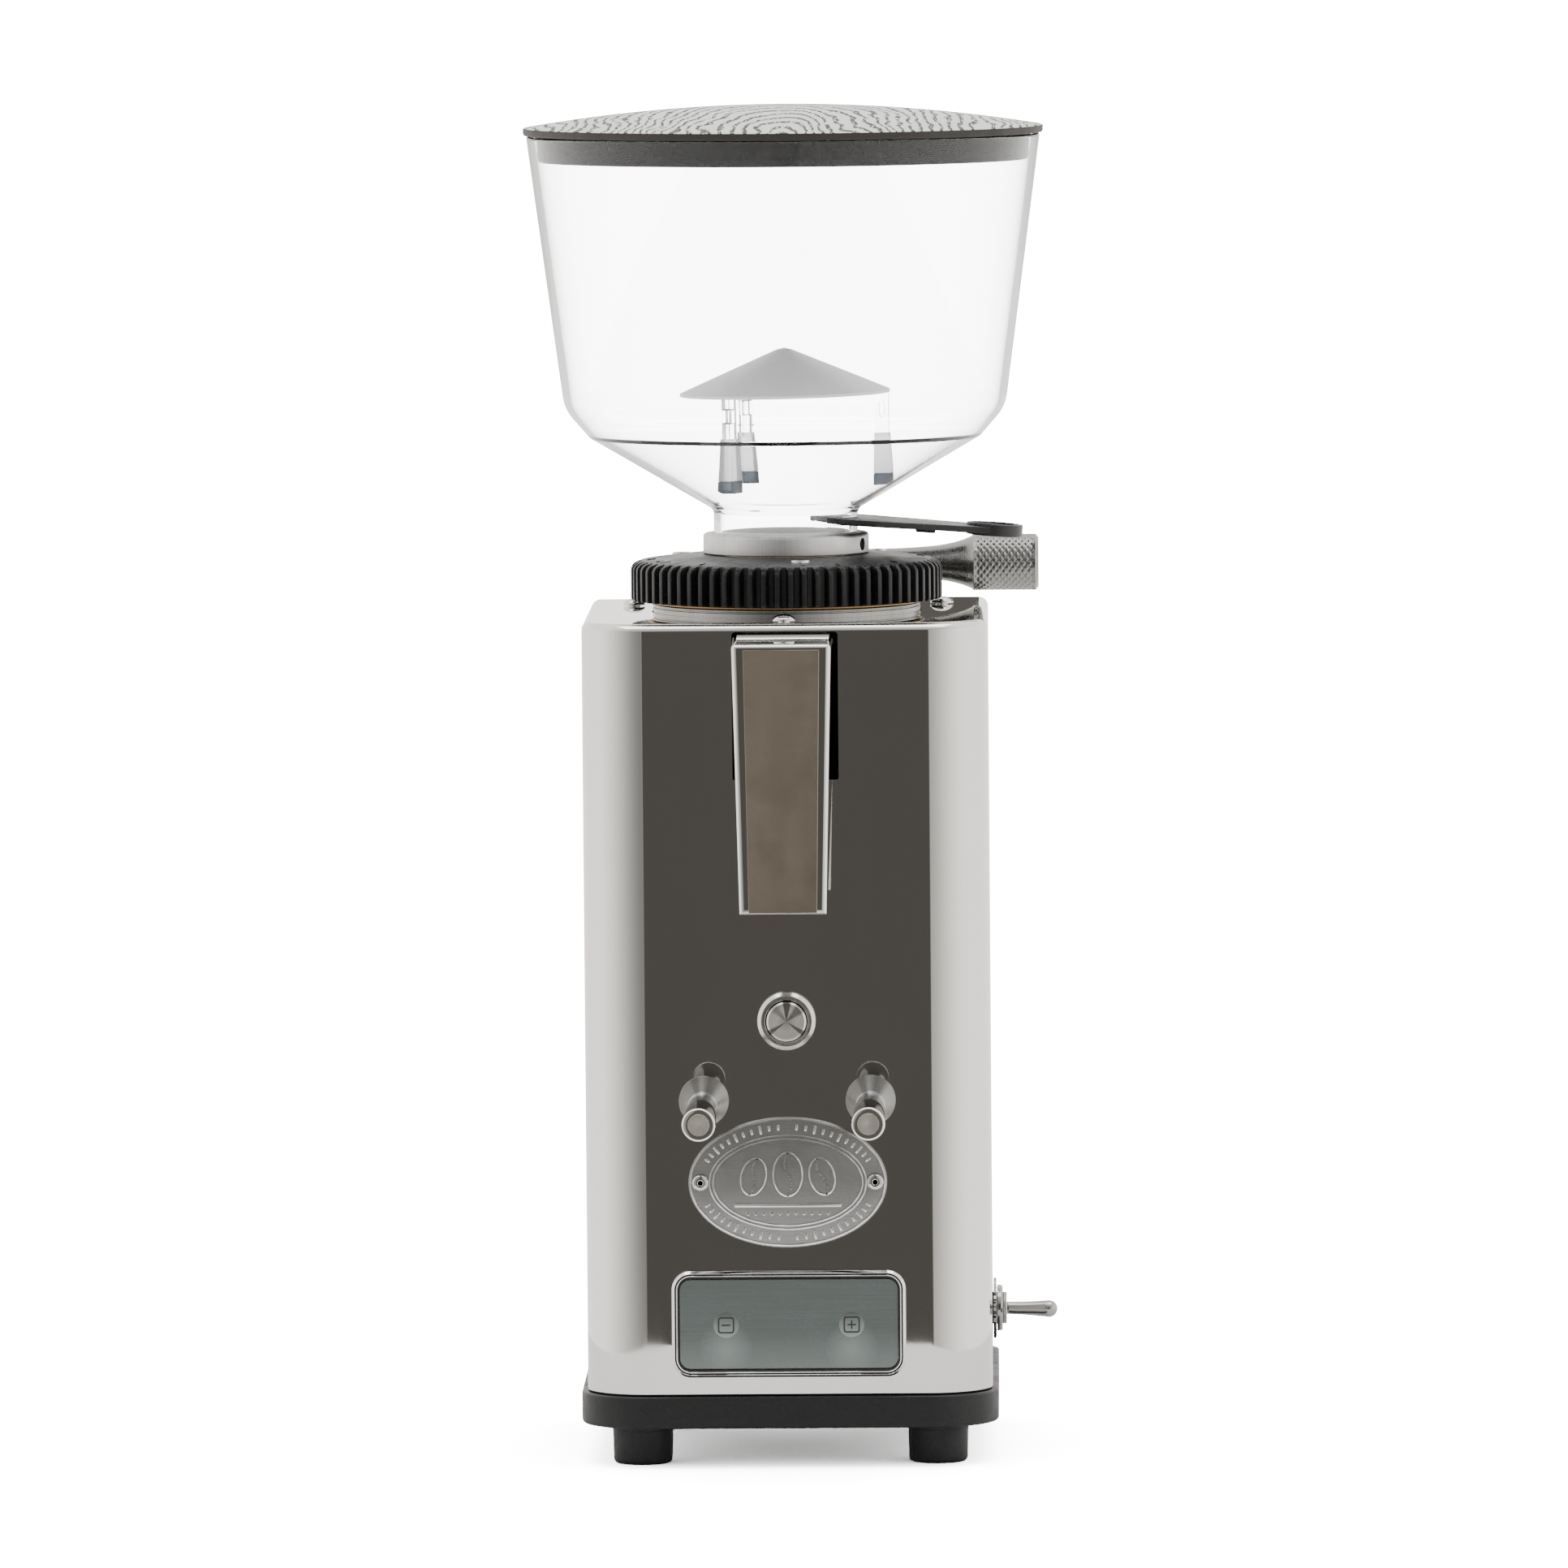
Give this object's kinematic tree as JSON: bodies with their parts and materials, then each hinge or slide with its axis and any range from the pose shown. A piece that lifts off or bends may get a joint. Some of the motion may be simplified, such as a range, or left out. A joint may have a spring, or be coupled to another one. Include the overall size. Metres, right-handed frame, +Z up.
{
  "type": "burr coffee grinder",
  "caption": "Upright espresso grinder: polished steel body, clear bean hopper with a wood lid, worm-driven grind ring, dosing chute, portafilter fork, push button, touch panel and side switch.",
  "frame": {"origin": "on the table, under the middle of the whole object's outline, the lid, the fork and the side switch included", "axes": "+Z up, the front with the chute and the fork faces -Y, and the side switch and the grind knob point to +X"},
  "size_m": [0.1736, 0.2338, 0.4435],
  "materials": {
    "polished_steel": "mirror-polished stainless steel",
    "satin_steel": "turned stainless steel, satin, knurled on the knob",
    "satin_aluminium": "turned aluminium, satin",
    "cast_aluminium": "cast aluminium, matt",
    "burr_steel": "ground tool steel",
    "brass": "turned brass",
    "motor_steel": "laminated electrical steel",
    "black_plastic": "moulded black plastic, fine grain",
    "rubber": "matt black rubber",
    "clear_plastic": "clear moulded plastic",
    "veneer": "pale open-grain wood veneer with dark grain, dark edge",
    "display_glass": "grey-green glass over a brushed backing",
    "badge_metal": "embossed satin metal plate",
    "circuit_board": "circuit board with its parts"
  },
  "bodies": {
    "body": {"housing": "polished_steel", "base_tray": "black_plastic", "foot_front_left": "rubber", "foot_front_right": "rubber", "foot_rear_left": "rubber", "foot_rear_right": "rubber", "chute": "polished_steel", "grinding_chamber": "cast_aluminium", "chamber_screw_front": "satin_steel", "chamber_screw_rear_left": "satin_steel", "chamber_screw_rear_right": "satin_steel", "worm_bearing_left": "satin_aluminium", "worm_bearing_right": "satin_aluminium", "stator": "motor_steel", "motor_bell_top": "cast_aluminium", "motor_bell_bottom": "cast_aluminium", "bearing_top": "burr_steel", "bearing_bottom": "burr_steel", "capacitor": "satin_aluminium", "control_board": "circuit_board", "button_bezel": "satin_steel", "button_switch": "black_plastic", "fork_cone_left": "satin_steel", "fork_cone_right": "satin_steel", "fork_pin_left": "polished_steel", "fork_pin_right": "polished_steel", "fork_nut_left": "satin_steel", "fork_nut_right": "satin_steel", "badge": "badge_metal", "badge_rivet_left": "satin_steel", "badge_rivet_right": "satin_steel", "display_frame": "polished_steel", "display_glass": "display_glass", "display_board": "circuit_board", "toggle_nut": "satin_steel", "toggle_body": "satin_steel", "cord_gland": "black_plastic"},
    "adjuster": {"adjusting_gear": "black_plastic", "upper_burr_carrier": "brass", "upper_burr": "burr_steel", "hopper_collar": "satin_aluminium", "collar_set_screw": "black_plastic", "hopper": "clear_plastic", "bean_guard": "clear_plastic"},
    "lid": {"lid": "veneer", "lid_insert": "black_plastic"},
    "gate": {"gate_lever": "black_plastic"},
    "knob": {"grind_knob": "satin_steel"},
    "button": {"button_cap": "satin_steel"},
    "switch_lever": {"toggle_lever": "polished_steel"},
    "spindle": {"motor_shaft": "burr_steel", "rotor": "motor_steel", "shaft_nut": "satin_steel", "lower_burr_carrier": "cast_aluminium", "lower_burr": "burr_steel", "cooling_fan": "black_plastic"}
  },
  "joints": [
    {"name": "grind_adjust", "type": "hinge", "parent": "body", "child": "adjuster", "pos_m": [-0.0011, 0.03115, 0.2885], "axis": [0, 0, 1], "range_deg": [-30, 90]},
    {"name": "knob_turn", "type": "hinge", "parent": "body", "child": "knob", "pos_m": [-0.0011, 0.08965, 0.2885], "axis": [1, 0, 0], "range_deg": [-2160, 6480]},
    {"name": "lid_lift", "type": "slide", "parent": "adjuster", "child": "lid", "axis": [0, 0, 1], "range_m": [0, 0.12]},
    {"name": "gate_slide", "type": "slide", "parent": "adjuster", "child": "gate", "axis": [-0.9973, 0, 0.0732], "range_m": [0, 0.0288]},
    {"name": "button_press", "type": "slide", "parent": "body", "child": "button", "axis": [0, 1, 0], "range_m": [0, 0.0025], "stiffness_N_per_m": 600, "springref_m": -0.001},
    {"name": "switch_tilt", "type": "hinge", "parent": "body", "child": "switch_lever", "pos_m": [0.0664, 0.01415, 0.0465], "axis": [0, 0, 1], "range_deg": [0, 24]},
    {"name": "burr_spin", "type": "hinge", "parent": "body", "child": "spindle", "pos_m": [-0.0011, 0.03115, 0.1935], "axis": [0, 0, 1], "continuous": true}
  ],
  "couplings": [
    {"joint": "knob_turn", "follows": "grind_adjust", "ratio": 72}
  ]
}
